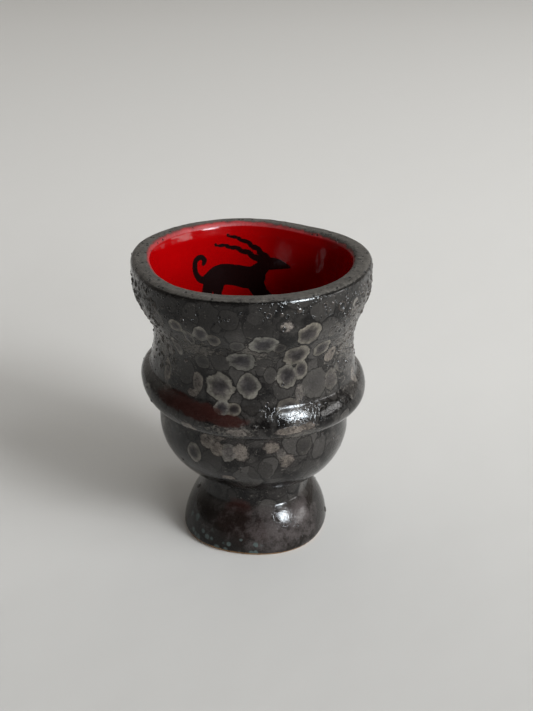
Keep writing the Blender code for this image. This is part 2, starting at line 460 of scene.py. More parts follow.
def cupBodyTree(s, h, shifts, stationCount):
    inputs = [("Geometry", "Geometry")]
    inputs += [(name, "Int" if name == "Segments" else "Float") for name in unevenness]
    inputs += [(name, "Material") for name in ("Dark glaze", "Red lining", "Bare clay")]
    inputs += [("Lining ends", "Float"), ("Clay starts", "Float"), ("Standing place", "Vector")]
    bench = newGroup("turnedCupBody", "GeometryNodeTree", inputs, [("Geometry", "Geometry")])
    given = bench.given
    named = bench.named

    # A flat grid: across it goes round the cup, and up it goes along the half section
    sockets = {"Size X": 1.0, "Size Y": 1.0, "Vertices Y": stationCount}
    sockets["Vertices X"] = given("Segments") + 1.0
    grid = bench.take(bench.add("GeometryNodeMeshGrid", sockets))
    spot = bench.take(bench.add("GeometryNodeInputPosition"))
    axes = bench.parts(spot)
    share = axes[0] + 0.5
    station = bench.math("ROUND", (axes[1] + 0.5) * (stationCount - 1.0))
    angle = math.pi / 2 - share * math.tau  # the seam is at the back

    def fromSection(field, kind="FLOAT"):
        sockets = {"Geometry": given("Geometry"), "Index": station, "Value": field}
        return bench.take(bench.add("GeometryNodeSampleIndex", sockets, data_type=kind))

    def lobes(name, count):
        # Waves round the cup, with a crest at the angle that goes with the name
        return bench.math("COSINE", (angle - bench.math("RADIANS", given(name + " angle"))) * count)

    def swelling(name, count):
        return given(name) * lobes(name, count)

    section = bench.parts(fromSection(spot, "FLOAT_VECTOR"))
    along = fromSection(named("along"))
    row = fromSection(named("row"))

    # The other form of the collar, all round but at the back and the left
    slope = bench.parts(fromSection(named("slope", "FLOAT_VECTOR"), "FLOAT_VECTOR"))
    sloped = bench.eased(lobes("Collar slope", 1), -0.20, 0.75)
    radius = section[0] + slope[0] * sloped
    z = section[2] + slope[2] * sloped

    # How far up the cup a point is, between pairs of levels
    level = {name: value * mm for name, value in h.items()}

    def rise(low, high):
        return bench.eased(z, level[low], level[high])

    aboveLedge = rise("ledge", "bowl")
    neckTop = level["ledge"] + 2 * s["neckHeight"] * mm
    tilted = bench.band(z, level["ledge"], neckTop, level["crest"], level["lip"])

    dentAway = bench.math("WRAP", angle - bench.math("RADIANS", given("Dent angle")), math.pi, -math.pi)
    dentAway = dentAway / bench.math("RADIANS", given("Dent spread"))
    mouth = swelling("Mouth oval", 2) + swelling("Three sided", 3) + swelling("Five sided", 5)
    mouth = mouth - given("Dent") * bench.math("EXPONENT", dentAway * dentAway * -0.5)
    mouth = mouth * rise("crease", "lip") * bench.eased(radius, 0.0, (s["waistRadius"] - s["wall"]) * mm)
    foot = given("Four sided foot") * lobes("Four sided", 4)
    foot = foot * (1.0 - aboveLedge) * bench.eased(radius, 0.0, s["neckRadius"] * mm)
    radius = radius + (mouth + foot) * mm

    flat = []
    for k, way in enumerate(("COSINE", "SINE")):
        shift = bench.mixed(aboveLedge, shifts["foot"][k] * mm, shifts["bowl"][k] * mm)
        shift = bench.mixed(rise("crease", "flare"), shift, shifts["waist"][k] * mm)
        shift = bench.mixed(rise("flare", "lip"), shift, shifts["mouth"][k] * mm)
        flat.append(radius * bench.math(way, angle) + shift)
    drop = flat[0] * bench.math("TANGENT", bench.math("RADIANS", given("Body tilt"))) * tilted

    # What later steps need is stored before the points move
    picture = [share * (1 - 2 * pictureMargin) + pictureMargin for share in (share, row)]
    geometry = bench.stored(grid, "along", along)
    geometry = bench.stored(geometry, "OFBake", bench.combined(*picture), "FLOAT2", "CORNER")
    geometry = bench.stored(geometry, "place", bench.combined(flat[0], flat[1], z - drop), "FLOAT_VECTOR")
    for kind, sockets in (
        ("SetPosition", {"Position": named("place", "FLOAT_VECTOR")}),
        ("MergeByDistance", {"Distance": 1e-6}),
        ("RemoveAttribute", {"Name": "place"}),
    ):
        geometry = bench.take(bench.add("GeometryNode" + kind, dict(sockets, Geometry=geometry)))

    # The middle of its outline goes to the standing place
    box = bench.add("GeometryNodeBoundBox", {"Geometry": geometry})
    low, high = bench.take(box, 1), bench.take(box, 2)
    middle = bench.parts(bench.scaled(bench.vector("ADD", low, high), 0.5))
    under = bench.combined(middle[0], middle[1], bench.parts(low)[2])
    offset = bench.vector("SUBTRACT", given("Standing place"), under)
    stood = bench.add("GeometryNodeSetPosition", {"Geometry": geometry, "Offset": offset})

    # Relief of the glaze: slow waves, wrinkles, and throwing lines round the neck and under the collar
    spot = bench.take(bench.add("GeometryNodeInputPosition"))
    x, _, height = bench.parts(spot)
    fromRim = named("along")
    waves = bench.swing(spot, reliefGrain["waves"], 1.0) * given("Waviness") * 2.0
    wrinkles = bench.swing(spot, reliefGrain["wrinkles"]) * given("Wrinkle") * 2.0
    stretched = bench.vector("MULTIPLY", spot, (0.12, 0.12, 1.0))
    lines = bench.swing(stretched, reliefGrain["lines"], 1.0) * given("Throwing lines") * 2.0
    crease, ledge, neck = level["crease"], level["ledge"], level["neck"]
    underCollar = bench.band(height, level["bowl"], crease, crease, crease + 4 * mm)
    aboutNeck = bench.band(height, ledge - 4 * mm, ledge, neck, neck + 5 * mm)
    outside = bench.band(fromRim, 2.0, 6.0, given("Clay starts") - 5.0, given("Clay starts") - 1.0)
    inside, rim, innerEdge = (bench.band(fromRim, *reach) for reach in reliefReach.values())
    flatPlace = bench.vector("MULTIPLY", spot, (1.0, 1.0, 0.0))
    aside = bench.math("ABSOLUTE", x) / bench.vector("LENGTH", flatPlace, output=1)
    sides = bench.eased(aside, 0.62, 0.92) * bench.eased(height, level["crest"], level["flare"])
    lumps = bench.eased(bench.noise(spot, reliefGrain["lumps"], 2.0, 0.6), 0.5, 0.75)
    lumps = lumps * given("Side roughness") * sides
    relief = (waves + wrinkles + lumps + lines * (underCollar + aboutNeck)) * outside
    relief = relief + waves * inside * 0.5 - innerEdge * given("Inner edge")
    relief = relief + bench.swing(spot, reliefGrain["rim"]) * given("Rim waviness") * 2.0 * rim
    normal = bench.take(bench.add("GeometryNodeInputNormal"))
    sockets = {"Geometry": bench.take(stood), "Offset": bench.scaled(normal, relief * mm)}
    raised = bench.add("GeometryNodeSetPosition", sockets)

    # Materials by the distance from the rim
    geometry = bench.take(bench.add("GeometryNodeSetShadeSmooth", {"Geometry": bench.take(raised)}))
    lined = bench.math("LESS_THAN", fromRim, given("Lining ends"))
    bare = bench.math("GREATER_THAN", fromRim, given("Clay starts"))
    for material, where in (("Dark glaze", True), ("Red lining", lined), ("Bare clay", bare)):
        sockets = {"Geometry": geometry, "Material": given(material), "Selection": where}
        geometry = bench.take(bench.add("GeometryNodeSetMaterial", sockets))
    bench.give("Geometry", geometry)
    return bench.tree


def applied(name, guide, tree, values):
    # The plain mesh that the tree makes of the guide, as a new object at the origin
    modifier = guide.modifiers.new(name, "NODES")
    modifier.node_group = tree
    for item in tree.interface.items_tree:
        if item.in_out == "INPUT" and item.name in values:
            modifier[item.identifier] = values[item.name]
    graph = bpy.context.evaluated_depsgraph_get()
    mesh = bpy.data.meshes.new_from_object(guide.evaluated_get(graph))
    mesh.name = name
    guide.modifiers.remove(modifier)
    return newObject(name, mesh)


def dropGuide(guide):
    mesh = guide.data
    bpy.data.objects.remove(guide)
    bpy.data.meshes.remove(mesh)


def addLayer(mesh, name, values, domain="POINT"):
    layer = mesh.attributes.new(name, "FLOAT", domain)
    layer.data.foreach_set("value", np.asarray(values, np.float32))


def guideMesh(name, points, values):
    # Loose points with named numbers, for a tree to read
    mesh = bpy.data.meshes.new(name)
    mesh.from_pydata([tuple(float(v) for v in point) for point in points], [], [])
    for label, numbers in values.items():
        addLayer(mesh, label, numbers)
    return newObject(name, mesh)


# Shader groups that several materials share

def orangePeelGroup():
    # The fine unevenness of a fired glaze, as a height in mm
    inputs = [("Vector", "Vector"), ("Coarse", "Float", 1.0), ("Fine", "Float", 1.0)]
    bench = newGroup("orangePeel", "ShaderNodeTree", inputs, [("Height", "Float")])
    vector = bench.given("Vector")
    coarse = bench.swing(vector, 3.2) * bench.given("Coarse") * 0.10
    fine = bench.swing(vector, 0.8) * bench.given("Fine") * 0.03
    bench.give("Height", coarse + fine)
    return bench.tree


def pinholeGroup():
    # Small holes scattered at random: how deep each point is in one, from 0 to 1, and its raised edge
    inputs = [("Vector", "Vector"), ("Spacing", "Float", 1.6), ("Share", "Float", 0.3)]
    inputs += [("Size", "Float", 0.28)]
    bench = newGroup("pinholes", "ShaderNodeTree", inputs, [("Hole", "Float"), ("Edge", "Float")])
    scale = bench.math("DIVIDE", 1 / mm, bench.given("Spacing"))
    distance, chance, width = bench.cells(bench.given("Vector"), scale)
    chosen = bench.math("LESS_THAN", chance, bench.given("Share"))
    reach = bench.given("Size") * (width * 0.7 + 0.5)
    bench.give("Hole", bench.fading(distance, reach * 0.55, reach) * chosen)
    bench.give("Edge", bench.band(distance, reach * 0.8, reach * 1.15, reach * 1.15, reach * 1.7) * chosen)
    return bench.tree


def mottleGroup():
    # Slow and fine changes of tone, around 1
    inputs = [("Vector", "Vector"), ("Slow", "Float", 0.3), ("Fine", "Float", 0.2)]
    bench = newGroup("mottle", "ShaderNodeTree", inputs, [("Tone", "Float")])
    vector = bench.given("Vector")
    slow = bench.swing(vector, 11.0, 3.0) * bench.given("Slow") * 2.0
    fine = bench.swing(vector, 0.55, 3.0, 0.7) * bench.given("Fine") * 2.0
    bench.give("Tone", slow + fine + 1.0)
    return bench.tree


def crackleGroup():
    # Fine crack lines in a fired glaze: 1 on a line, 0 between
    inputs = [("Vector", "Vector"), ("Size", "Float", 2.4)]
    bench = newGroup("crackle", "ShaderNodeTree", inputs, [("Line", "Float")])
    vector = bench.given("Vector")
    bent = bench.vector("ADD", vector, bench.scaled(bench.noise(vector, 2.0, output=1), 0.7 * mm))
    border = bench.cellBorder(bent, bench.math("DIVIDE", 1 / mm, bench.given("Size")))
    bench.give("Line", bench.fading(border, 0.0, 0.06))
    return bench.tree


shared = {
    "peel": orangePeelGroup(),
    "pinholes": pinholeGroup(),
    "mottle": mottleGroup(),
    "crackle": crackleGroup(),
}


def newMaterial(name, roughness, specular):
    material = bpy.data.materials.new(name)
    material.use_nodes = True
    bench = Bench(material.node_tree)
    shader = material.node_tree.nodes["Principled BSDF"]
    shader.inputs["Roughness"].default_value = roughness
    shader.inputs["Specular IOR Level"].default_value = specular
    place = bench.take(bench.add("ShaderNodeTexCoord"), 3)
    return material, bench, shader, place


def group(name, place, output=0, **inputs):
    # One output of a shared group, with the values given
    bench = place.bench
    sockets = {label.capitalize(): value for label, value in inputs.items()}
    node = bench.add("ShaderNodeGroup", node_tree=shared[name])
    for label, value in dict(sockets, Vector=place).items():
        bench.feed(node.inputs[label], value)
    return bench.take(node, output)


def bumped(bench, shader, height):
    node = bench.add("ShaderNodeBump", {"Height": height * mm, "Strength": 1.0, "Distance": 1.0})
    bench.feed(shader.inputs["Normal"], bench.take(node))


# The dark glaze outside and on the rim

darkGlaze = {
    "ground": (0.0045, 0.0042, 0.0042, 1.0),
    "groundPale": (0.050, 0.0475, 0.045, 1.0),
    # The seam colour is also used for painted shade in pinholes and under the rim's shoulder.
    "seam": (0.0025, 0.0025, 0.0025, 1.0),
    "wrinkle": (0.105, 0.097, 0.086, 1.0),
    "crystalHeart": (0.020, 0.0185, 0.0195, 1.0),
    "crystalMiddle": (0.040, 0.037, 0.036, 1.0),
    "crystalRing": (0.096, 0.092, 0.081, 1.0),
    "crystalOutline": (0.005, 0.0045, 0.0045, 1.0),
    "crystalTints": ((1.02, 0.98, 0.94, 1.0), (0.98, 1.0, 1.03, 1.0)),
    "flake": (0.122, 0.110, 0.098, 1.0),
    "flakeDark": (0.042, 0.037, 0.035, 1.0),
    "iron": (0.0210, 0.0072, 0.0060, 1.0),
    "rim": (0.060, 0.057, 0.052, 1.0),
    "rimDark": (0.008, 0.007, 0.007, 1.0),
    "rimPale": (0.110, 0.106, 0.098, 1.0),
    "redLap": (0.280, 0.026, 0.030, 1.0),
    "redLapDull": (0.070, 0.022, 0.021, 1.0),
    "turquoise": (0.062, 0.084, 0.083, 1.0),
    "footBrown": (0.0080, 0.0066, 0.0058, 1.0),
    "mauve": (0.050, 0.044, 0.044, 1.0),
    "clayEdge": (0.230, 0.135, 0.065, 1.0),
    "roughness": 0.08,
    "roughCrystal": 0.16,
    "roughWrinkle": 0.22,
    "roughCloud": 0.17,
    "roughRim": 0.46,
    "roughPit": 0.8,
    "specular": 0.20,
    # Sizes in mm
    "disc": 9.0,
    "crack": 1.9,
    "dots": {"spacing": 3.0, "share": 0.85, "size": 0.44},
    "pits": {"spacing": 1.8, "share": 0.55, "size": 0.32},
    "rimPits": {"spacing": 1.6, "share": 0.32, "size": 0.34},
    "mottle": {"slow": 0.40, "fine": 0.70},
    "peel": {"coarse": 0.34, "fine": 0.07},
    # Relief in mm, up or down
    "pitEdgeUp": 0.12,
    "pitDown": 0.28,
    "outlineDown": 0.03,
    "wrinkleUp": 0.035,
    "rimGrain": 0.16,
    "seamDown": 0.02,
    "crackDown": 0.015,
}


def makeDarkGlaze(look):
    material, bench, shader, place = newMaterial("darkCrystalGlaze", look["roughness"], look["specular"])
    wobble = bench.swing(place, 2.8)
    scallop = bench.swing(place, 1.0, 3.0, 0.6)
    grain = bench.swing(place, 0.5, 3.0, 0.7)
    foot = bench.attribute("footSkin")
    cracks = group("crackle", place, size=look["crack"])

    # Ground: discs of flat grey that meet in dark seams, over soft patches of near black and grey
    bent = bench.vector("ADD", place, bench.scaled(bench.noise(place, 4.5, output=1), 2.4 * mm))
    bent = bench.vector("MULTIPLY", bent, (1.0, 1.0, 0.8))
    discScale = 1 / (look["disc"] * mm)
    away, paleness, smaller = bench.cells(bent, discScale)
    away = away + scallop * 0.05 - smaller * 0.22
    inDisc = bench.fading(away, 0.40, 0.45)
    patch = bench.eased(bench.noise(place, 8.0, 4.0, 0.62), 0.36, 0.66)
    under = patch * 0.62 + grain * 0.5 + wobble * 0.4
    flatGrey = paleness * 0.62 + patch * 0.18 + 0.10 + grain * 0.12
    # The ground's tone is scaled by painted window light: paler on the side that faces the window, darker
    # away from it and near the top.
    tone = bench.mixed(inDisc, under, flatGrey) * bench.attribute("paintedWindowLight")
    tone = bench.math("MINIMUM", bench.math("MAXIMUM", tone, 0.0), 1.0)
    colour = bench.blended(tone, look["ground"], look["groundPale"])
    cut = bench.fading(bench.cellBorder(bent, discScale), 0.0, 0.03) * inDisc
    seam = bench.math("MAXIMUM", bench.line(away - 0.43, 0.04), cut) * (1.0 - foot)
    colour = bench.blended(seam * 0.65, colour, look["seam"])

    # Pale wrinkles and specks where the glaze has run
    run = bench.vector("MULTIPLY", place, (1.0, 1.0, 1.6))
    wrinkle = bench.noise(run, 1.5, 4.0, 0.68, 0.8) + bench.attribute("flakes") * 0.20
    wrinkle = bench.eased(wrinkle, 0.61, 0.70)
    colour = bench.blended(wrinkle * 0.6, colour, look["wrinkle"])

    # Crystals: a dark heart, brightening to a pale ring with a thin dark outline
    clear = bench.attribute("crystalClear")
    flat = bench.attribute("crystalFlat")
    tint = bench.attribute("crystalTint")
    reach = bench.attribute("crystalReach") + wobble * 0.62 + scallop * (flat * 0.9 + 0.07)
    streaks = bench.swing(place, 1.4, 4.0, 0.65) * 0.45 * bench.eased(reach, 1.0, 0.6)
    crystal = bench.ramp((reach + streaks) * 0.82, [
        (0.00, look["crystalHeart"]),
        (0.20, look["crystalHeart"]),
        (0.46, look["crystalMiddle"]),
        (0.71, look["crystalRing"]),
        (0.83, look["crystalRing"]),
        (0.885, look["crystalOutline"]),
        (1.00, look["crystalOutline"]),
    ])
    flatOne = bench.ramp(bench.noise(place, 1.3, 4.0, 0.7) - bench.eased(reach, 0.86, 1.04) * 0.4, [
        (0.30, look["flakeDark"]), (0.46, look["flake"]), (0.56, look["flake"]), (0.62, look["flakeDark"])])
    flatOne = bench.blended(cracks * 0.5, flatOne, look["flakeDark"])
    crystal = bench.blended(flat, crystal, flatOne)
    uneven = bench.eased(bench.noise(place, 3.4, 2.0, 0.6), 0.34, 0.66, 0.62, 1.30)
    crystal = bench.times(bench.times(crystal, bench.blended(tint, *look["crystalTints"])), uneven)
    # Painted light: crystals are brightened where the painted window light is dim, as if lit on the shaded
    # side.
    crystal = bench.times(crystal, bench.eased(bench.attribute("paintedWindowLight"), 0.4, 1.0, 1.32, 1.0))
    faint = bench.blended(tint * 0.5 + 0.15 + grain * 0.2, look["ground"], look["groundPale"])
    crystal = bench.blended(bench.eased(clear, 0.30, 0.80), faint, crystal)
    between = bench.fading(bench.attribute("crystalGap") + scallop * 0.05, 0.02, 0.11)
    crystal = bench.blended(between * 0.8, crystal, look["crystalOutline"])
    shown = bench.eased(clear, 0.02, 0.30)
    inCrystal = bench.fading(reach, 1.05, 1.13) * shown
    colour = bench.blended(inCrystal, colour, crystal)
    outline = bench.line(reach - 1.10, 0.10) * shown
    colour = bench.blended(outline * 0.7, colour, look["crystalOutline"])

    # Where the glaze runs thin it breaks to iron brown; the foot is brown black with mauve clouds
    iron = bench.eased(bench.attribute("ironBreak") + wobble * 0.5 + grain * 0.25, 0.34, 0.62)
    colour = bench.blended(iron * 0.9, colour, look["iron"])
    cloud = bench.noise(place, 5.0, 5.0, 0.70) + bench.attribute("footCloud") * 0.30
    footTone = bench.blended(bench.eased(cloud, 0.50, 0.84), look["footBrown"], look["mauve"])
    footTone = bench.blended(iron * 0.10, footTone, look["iron"])
    colour = bench.blended(foot * 0.95, colour, footTone)
    dots = group("pinholes", place, **look["dots"])
    dots = dots * bench.eased(bench.attribute("footEdge") + wobble * 0.3, 0.22, 0.42)
    colour = bench.blended(dots * 0.8, colour, look["turquoise"])

    # The rim: satin grey with specks, a painted shade line just under its shoulder, and red lapping over its
    # inner side
    rimTop = bench.attribute("rimTop")
    # Painted shade: a dark band just under the rim's shoulder, at the edges of its top.
    colour = bench.blended(bench.band(rimTop, -1.0, -0.5, -0.5, 0.0) * 0.8, colour, look["seam"])
    rim = bench.eased(rimTop + scallop * 1.1, -0.3, 0.3)
    rimTone = bench.ramp(bench.noise(place, 1.5, 5.0, 0.76), [
        (0.36, look["rimDark"]), (0.46, look["rim"]), (0.56, look["rim"]), (0.66, look["rimPale"])])
    colour = bench.blended(rim, colour, rimTone)
    lap = bench.attribute("redLap") + bench.swing(place, 2.6, 4.0, 0.65) * 3.6
    lapTone = bench.blended(bench.fading(lap, -0.1, 1.3), look["redLap"], look["redLapDull"])
    colour = bench.blended(bench.eased(lap, -0.3, 0.4) * 0.92, colour, lapTone)

    # Pinholes darkened as painted shade, the whole tone's grain, and worn clay at the foot's edge
    pitted = bench.attribute("pitted")
    hole, edge = (group("pinholes", place, output, **look["pits"]) * pitted for output in ("Hole", "Edge"))
    hole = bench.math("MAXIMUM", hole, group("pinholes", place, **look["rimPits"]) * rim)
    # Painted shade: pinholes on the wall and rim are darkened to read as deep holes.
    colour = bench.blended(hole * 0.9, colour, look["seam"])
    colour = bench.times(colour, group("mottle", place, **look["mottle"]))
    worn = bench.eased(bench.attribute("clayEdge") + scallop * 0.9, 0.0, 0.4)
    bench.feed(shader.inputs["Base Color"], bench.blended(worn, colour, look["clayEdge"]))

    rough = bench.mixed(inCrystal, look["roughness"], look["roughCrystal"])
    rough = rough + bench.eased(grain, 0.0, 0.3) * 0.04
    for where, level in (
        (wrinkle, "roughWrinkle"),
        (foot * bench.eased(cloud, 0.66, 0.80), "roughCloud"),
        (rim, "roughRim"),
        (bench.math("MAXIMUM", hole, worn), "roughPit"),
    ):
        rough = bench.mixed(where, rough, look[level])
    bench.feed(shader.inputs["Roughness"], rough)

    height = group("peel", place, **look["peel"]) + edge * look["pitEdgeUp"] - hole * look["pitDown"]
    height = height - outline * look["outlineDown"] + wrinkle * look["wrinkleUp"]
    height = height + rim * grain * look["rimGrain"] - seam * look["seamDown"]
    height = height - cracks * (1.0 - rim) * look["crackDown"]
    bumped(bench, shader, height)
    return material


# The red gloss lining, with the animal painted in black

redLining = {
    "red": (0.228, 0.0003, 0.0009, 1.0),
    "paint": (0.006, 0.002, 0.002, 1.0),
    "lap": (0.29, 0.022, 0.028, 1.0),
    "roughness": 0.09,
    "roughPaint": 0.16,
    "specular": 0.14,
    "mottle": {"slow": 0.10, "fine": 0.04},
    "peel": {"coarse": 0.8, "fine": 0.25},
}


def makeRedLining(look):
    material, bench, shader, place = newMaterial("redGlossLining", look["roughness"], look["specular"])
    painted = bench.fading(bench.attribute("figureGap") + bench.swing(place, 0.8) * 0.3, -0.12, 0.12)
    colour = bench.blended(bench.eased(bench.attribute("redLap"), 2.6, 1.2), look["red"], look["lap"])
    colour = bench.times(colour, group("mottle", place, **look["mottle"]))
    bench.feed(shader.inputs["Base Color"], bench.blended(painted, colour, look["paint"]))
    bench.feed(shader.inputs["Roughness"], bench.mixed(painted, look["roughness"], look["roughPaint"]))
    bumped(bench, shader, group("peel", place, **look["peel"]))
    return material


# Bare clay under the foot

bareClay = {
    "clay": (0.30, 0.19, 0.11, 1.0),
    "grog": (0.12, 0.07, 0.045, 1.0),
    "roughness": 0.88,
    "specular": 0.3,
    "pits": {"spacing": 1.2, "share": 0.25, "size": 0.3},
    "mottle": {"slow": 0.25, "fine": 0.45},
    "peel": {"coarse": 0.6, "fine": 2.5},
}


def makeBareClay(look):
    material, bench, shader, place = newMaterial("bareStoneware", look["roughness"], look["specular"])
    hole = group("pinholes", place, **look["pits"])
    colour = bench.blended(hole * 0.8, look["clay"], look["grog"])
    bench.feed(shader.inputs["Base Color"], bench.times(colour, group("mottle", place, **look["mottle"])))
    bumped(bench, shader, group("peel", place, **look["peel"]) - hole * 0.12)
    return material


# Blisters: burst ones are craters with a raised lip and a near-black floor of painted shade, whole ones are
# domes

blisterLooks = {  # colour, roughness and fine grain
    "blisterGlaze": ((0.036, 0.031, 0.028, 1.0), 0.16, 1.5),
    # The pit's near-black colour is painted shade, standing for the hole's depth.
    "blisterPitShade": ((0.0030, 0.0024, 0.0022, 1.0), 0.45, 2.0),
}


def makeBlisterGlaze(name):
    tone, roughness, fine = blisterLooks[name]
    material, bench, shader, place = newMaterial(name, roughness, 0.35)
    bench.feed(shader.inputs["Base Color"], bench.times(tone, group("mottle", place, slow=0.6, fine=0.9)))
    bumped(bench, shader, group("peel", place, coarse=0.4, fine=fine))
    return material


glazes = {
    "Dark glaze": makeDarkGlaze(darkGlaze),
    "Red lining": makeRedLining(redLining),
    "Bare clay": makeBareClay(bareClay),
    "Blister glaze": makeBlisterGlaze("blisterGlaze"),
    # The pit material is near-black painted shade for the crater floors.
    "Pit": makeBlisterGlaze("blisterPitShade"),
}
print("glazes mixed")


def makeBody():
    heights = cupHeights(cupSizes)
    counts = {}
    points, along, rows = halfSection(cupSizes, heights, meshSteps, counts)
    otherSizes = dict(cupSizes, **slopedCollar)
    slope = halfSection(otherSizes, cupHeights(otherSizes), meshSteps, counts)[0] - points
    slope[(along < 20) | (along > 70)] = 0.0  # mm from the rim: only the collar changes
    spots = [(r * mm, 0.0, z * mm) for r, z in points]
    section = guideMesh("halfSection", spots, {"along": along, "row": rows})
    layer = section.data.attributes.new("slope", "FLOAT_VECTOR", "POINT")
    layer.data.foreach_set("vector", (np.insert(slope, 1, 0.0, axis=1) * mm).astype(np.float32).ravel())
    tree = cupBodyTree(cupSizes, heights, bodyShifts, len(points))
    low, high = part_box("cup")
    clayStarts = float(along[np.argmax((along > 20) & (points[:, 1] < cupSizes["footEdge"] * 0.5))])
    values = dict(unevenness, **glazes)
    values["Lining ends"] = -(cupSizes["rimWidth"] / 2 + 0.4)
    values["Clay starts"] = clayStarts
    values["Standing place"] = ((low.x + high.x) / 2, (low.y + high.y) / 2, low.z)
    body = applied("cup_body", section, tree, values)
    dropGuide(section)
    shell = bmesh.new()
    shell.from_mesh(body.data)
    volume = round(shell.calc_volume(signed=True) / mm ** 3 / 1000, 1)
    openEdges = sum(1 for edge in shell.edges if not edge.is_manifold)
    shell.free()
    print("body turned:", len(body.data.polygons), "faces,", volume, "cm3,", openEdges, "open edges")
    return body, clayStarts


body, clayStarts = makeBody()


# Where things are on the finished body, in mm and radians

def bodyPlaces(mesh):
    places = np.empty(3 * len(mesh.vertices))
    mesh.vertices.foreach_get("co", places)
    along = np.empty(len(mesh.vertices))
    mesh.attributes["along"].data.foreach_get("value", along)
    return places.reshape(-1, 3) / mm, along


def wrapped(angle):
    return (angle + np.pi) % (2 * np.pi) - np.pi


places, along = bodyPlaces(body.data)
angles = np.arctan2(places[:, 1], places[:, 0])
radii = np.hypot(places[:, 0], places[:, 1])
heights = places[:, 2]
outsideOnes = np.flatnonzero((along > 3.0) & (along < clayStarts))


def spotAt(degrees, height):
    # The vertex of the outside that is nearest to an angle and a height
    aside = wrapped(angles[outsideOnes] - math.radians(degrees)) * radii[outsideOnes]
    return outsideOnes[np.argmin(aside ** 2 + (heights[outsideOnes] - height) ** 2)]


def towards(degrees):
    # 1 on the side that faces the angle, -1 on the other
    return np.cos(angles - math.radians(degrees))


crystals = {
    # Those of the front: angle, height, half width, half height, how clear (1 is clearest), how flat
    # (1 has no darker middle)
    "chosen": [
        (-125, 97.6, 2.6, 2.4, 0.75, 0), (-120, 93.2, 1.8, 3.4, 0.8, 0), (-113, 95.8, 2.5, 3.2, 0.85, 0),
        (-107, 94, 2.2, 2.7, 0.6, 0), (-100, 102.4, 3.2, 3.3, 0.35, 0), (-84, 92.5, 4.5, 3.9, 0.9, 0),
        (-63, 95, 4.2, 4.4, 0.95, 0), (-66, 86, 4.6, 4.1, 0.95, 0), (-95, 85.3, 4.5, 4.0, 0.9, 0),
        (-71, 78.4, 3.7, 4.2, 0.95, 0), (-62.5, 79.2, 2.4, 3.4, 0.9, 0), (-108, 74.2, 4.9, 4.7, 1.0, 0),
        (-92, 75.8, 3.6, 4.4, 0.9, 0), (-51, 87, 3.5, 3.2, 0.68, 0), (-43, 82.2, 2.8, 2.6, 0.7, 0.6),
        (-53, 73.4, 5.2, 5.0, 0.42, 0), (-136, 97.1, 2.6, 3.0, 0.6, 0), (-152, 82.8, 2.2, 4.4, 0.85, 0.2),
        (-142, 84.5, 1.6, 4.4, 0.85, 0.5), (-133, 87, 1.7, 4.2, 0.8, 0.2), (-36, 99.6, 2.3, 3.0, 0.75, 0.4),
        (-121, 74.7, 2.0, 3.6, 0.7, 0.5), (-107, 83.6, 3.2, 3.4, 0.38, 0), (-41, 72, 3.6, 3.6, 0.55, 0.3),
        (-31, 76, 3.4, 3.2, 0.5, 0), (-143, 68.8, 2.0, 1.4, 0.6, 1), (-124, 70.8, 2.0, 1.5, 0.7, 1),
        (-83, 84.4, 3.0, 1.6, 0.3, 1), (-106, 67.4, 2.9, 2.4, 0.8, 0), (-99.5, 67.2, 2.4, 2.3, 0.8, 0),
        (-128, 44.9, 2.9, 3.7, 0.9, 0), (-117, 51.4, 3.2, 2.8, 0.9, 0.8), (-111.5, 49.2, 2.6, 2.8, 0.85, 0.7),
        (-104.5, 48.4, 2.8, 3.4, 0.85, 0.4), (-97.5, 48.9, 2.8, 3.3, 0.9, 0.8),
        (-124, 58.4, 3.4, 2.2, 0.75, 1),
        (-97, 60.2, 3.6, 1.5, 0.7, 1), (-79, 50.8, 2.6, 2.4, 0.6, 1), (-73, 47.6, 1.8, 2.0, 0.55, 1),
        (-69, 44.6, 2.6, 2.6, 0.6, 1), (-106, 36.9, 2.5, 1.2, 0.75, 1), (-70, 66.9, 4.2, 3.0, 0.55, 0.2),
        (-58, 48.8, 3.2, 3.4, 0.42, 0), (-35, 42, 3.6, 3.0, 0.25, 0), (-64, 71.4, 1.6, 2.6, 0.6, 1),
        (-75, 99.4, 2.3, 1.9, 0.95, 1), (-72, 59.6, 4.6, 1.7, 0.75, 1),
        (-63, 60.6, 3.2, 1.5, 0.6, 1), (-111, 54.4, 3.4, 1.6, 0.7, 0.9), (-97, 92, 2.4, 2.2, 0.45, 0),
        (-118, 83, 2.6, 3.0, 0.45, 0), (-80, 79, 2.2, 3.0, 0.4, 0), (-76, 90.4, 2.0, 2.2, 0.45, 0),
        (-86, 41, 4.0, 4.4, 0.16, 0), (-120, 39, 3.4, 3.6, 0.2, 0), (-54, 38, 3.6, 4.0, 0.18, 0),
        (-48, 94, 2.6, 3.0, 0.52, 0.3), (-27, 88, 2.4, 4.2, 0.6, 0.2), (-22, 97, 2.4, 4.0, 0.6, 0),
        (-150, 93.5, 2.4, 4.0, 0.85, 0.2), (-146, 74.5, 2.0, 4.6, 0.8, 0.4), (-88, 103, 2.6, 2.0, 0.14, 0),
    ],
    "front": (-157.0, -17.0),  # no others between these angles
    "lowest": 30,  # mm up
    "count": 190,
    "tries": 5000,
    "size": (2.1, 4.6),
    "spacing": 0.86,  # of two neighbours' sizes together
    "flatShare": 0.22,
    "seed": 11,
}


